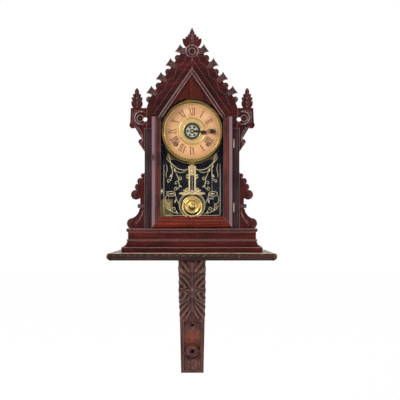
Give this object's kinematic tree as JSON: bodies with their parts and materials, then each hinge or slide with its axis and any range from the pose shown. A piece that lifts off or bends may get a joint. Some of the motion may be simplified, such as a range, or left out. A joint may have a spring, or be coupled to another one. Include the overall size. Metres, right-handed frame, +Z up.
{
  "type": "bracket wall clock",
  "caption": "Gabled carved wall clock with a glazed hinged door, round dial, alarm disc and swinging pendulum, standing on a carved wall bracket.",
  "frame": {"origin": "on the wall plane at the back of the carved upright, midway between its two screw holes", "axes": "+Z up, +Y into the wall, +X to the right of someone who faces the clock"},
  "size_m": [0.372, 0.16, 0.7949],
  "materials": {
    "walnut_case": "satin",
    "walnut_bracket": "satin",
    "brass": "polished",
    "dark_brass": "aged",
    "gilt": "satin",
    "steel": "brushed",
    "blued_steel": "blued",
    "cast_iron": "painted",
    "silvered_metal": "satin",
    "glass": "clear, with gilt ornament",
    "dial_paper": "aged paper"
  },
  "bodies": {
    "case": {"bracket_shelf": "walnut_bracket", "bracket_corbel": "walnut_bracket", "bracket_screws": "steel", "base_front": "walnut_case", "base_side_left": "walnut_case", "base_side_right": "walnut_case", "case_floor": "walnut_case", "side_board_left": "walnut_case", "side_board_right": "walnut_case", "backboard": "walnut_case", "roof_board_left": "walnut_case", "roof_board_right": "walnut_case", "front_stile_left": "walnut_case", "front_stile_right": "walnut_case", "latch_keeper": "steel", "crest_left": "walnut_case", "crest_right": "walnut_case", "top_finial": "walnut_case", "ear_left": "walnut_case", "ear_right": "walnut_case", "turned_bosses": "walnut_case", "side_scroll_left": "walnut_case", "side_scroll_right": "walnut_case", "hinge_case_leaves": "brass", "dial_pan": "dial_paper", "dial_bezel": "brass", "dial_rings": "brass", "dial_blocks": "walnut_case", "dial_screws": "brass", "plate_back": "brass", "plate_front": "brass", "movement_screws": "steel", "gong_coil": "blued_steel", "gong_base": "cast_iron", "alarm_movement": "brass", "alarm_bell": "silvered_metal"},
    "door": {"door_stile_left": "walnut_case", "door_stile_right": "walnut_case", "door_bottom_rail": "walnut_case", "door_gable_left": "walnut_case", "door_gable_right": "walnut_case", "door_glass": "glass", "glass_beads": "walnut_case", "hinge_door_leaves": "brass"},
    "latch": {"door_latch": "dark_brass"},
    "minute": {"minute_hand": "steel", "hand_nut": "brass", "centre_arbor": "steel"},
    "hour": {"hour_hand": "steel"},
    "alarm_setting": {"alarm_disc": "silvered_metal"},
    "pendulum": {"pendulum_rod": "steel", "pendulum_ornament": "gilt", "pendulum_bob": "brass", "suspension_spring": "steel"},
    "verge": {"verge": "steel"},
    "escape": {"escape_wheel": "brass"},
    "time_winding": {"time_spring_arbor": "steel"},
    "strike_winding": {"strike_spring_arbor": "steel"},
    "strike_hammer": {"strike_hammer": "steel"},
    "alarm_hammer": {"alarm_hammer": "steel"}
  },
  "joints": [
    {"name": "door_swing", "type": "hinge", "parent": "case", "child": "door", "pos_m": [0.0939, -0.1006, 0.386], "axis": [0, 0, 1], "range_deg": [0, 100]},
    {"name": "latch_turn", "type": "hinge", "parent": "door", "child": "latch", "pos_m": [-0.089, -0.103, 0.4203], "axis": [0, 1, 0], "range_deg": [0, 90]},
    {"name": "minute_turn", "type": "hinge", "parent": "case", "child": "minute", "pos_m": [0, -0.08, 0.481], "axis": [0, 1, 0], "continuous": true},
    {"name": "hour_turn", "type": "hinge", "parent": "case", "child": "hour", "pos_m": [0, -0.076, 0.481], "axis": [0, 1, 0], "continuous": true},
    {"name": "alarm_setting_turn", "type": "hinge", "parent": "hour", "child": "alarm_setting", "pos_m": [0, -0.073, 0.481], "axis": [0, 1, 0], "continuous": true},
    {"name": "pendulum_swing", "type": "hinge", "parent": "case", "child": "pendulum", "pos_m": [0, -0.063, 0.463], "axis": [0, 1, 0], "range_deg": [-3, 3]},
    {"name": "verge_rock", "type": "hinge", "parent": "case", "child": "verge", "pos_m": [0, -0.056, 0.46], "axis": [0, 1, 0], "range_deg": [-3.4, 3.4]},
    {"name": "escape_turn", "type": "hinge", "parent": "case", "child": "escape", "pos_m": [0, -0.054, 0.444], "axis": [0, 1, 0], "continuous": true},
    {"name": "time_winding_turn", "type": "hinge", "parent": "case", "child": "time_winding", "pos_m": [-0.037, -0.053, 0.4515], "axis": [0, 1, 0], "continuous": true},
    {"name": "strike_winding_turn", "type": "hinge", "parent": "case", "child": "strike_winding", "pos_m": [0.037, -0.053, 0.4515], "axis": [0, 1, 0], "continuous": true},
    {"name": "strike_hammer_swing", "type": "hinge", "parent": "case", "child": "strike_hammer", "pos_m": [0.046, -0.0428, 0.4212], "axis": [0, 1, 0], "range_deg": [-12, 0]},
    {"name": "alarm_hammer_swing", "type": "hinge", "parent": "case", "child": "alarm_hammer", "pos_m": [-0.056, -0.02, 0.315], "axis": [0, 1, 0], "range_deg": [0, 12]}
  ],
  "couplings": [
    {"joint": "hour_turn", "follows": "minute_turn", "ratio": 0.083333},
    {"joint": "verge_rock", "follows": "pendulum_swing", "ratio": 1.11}
  ]
}
